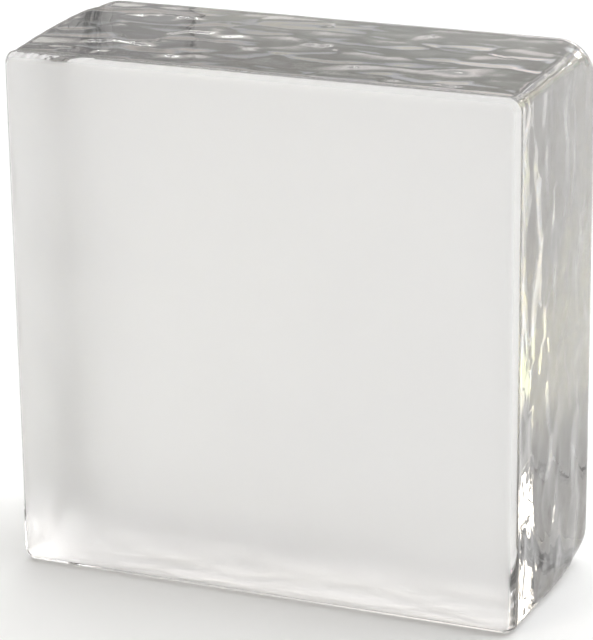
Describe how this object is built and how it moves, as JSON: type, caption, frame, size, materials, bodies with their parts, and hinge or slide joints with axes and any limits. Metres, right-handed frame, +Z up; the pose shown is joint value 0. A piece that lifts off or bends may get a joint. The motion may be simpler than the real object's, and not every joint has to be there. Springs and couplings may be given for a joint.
{
  "type": "glass block",
  "caption": "Solid square block of clear cast glass with rounded rims and rippled sides, laid on edge to let light through a wall.",
  "frame": {"origin": "middle of the flat lower side that the block stands on", "axes": "+Z up, square to the seat; -Y out of the crisp-edged face, which leans forward by the draft angle; X across the block"},
  "size_m": [0.1886, 0.0846, 0.1905],
  "materials": {
    "clear_glass": "gloss"
  },
  "bodies": {
    "root": {"glass_block": "clear_glass"}
  },
  "joints": []
}
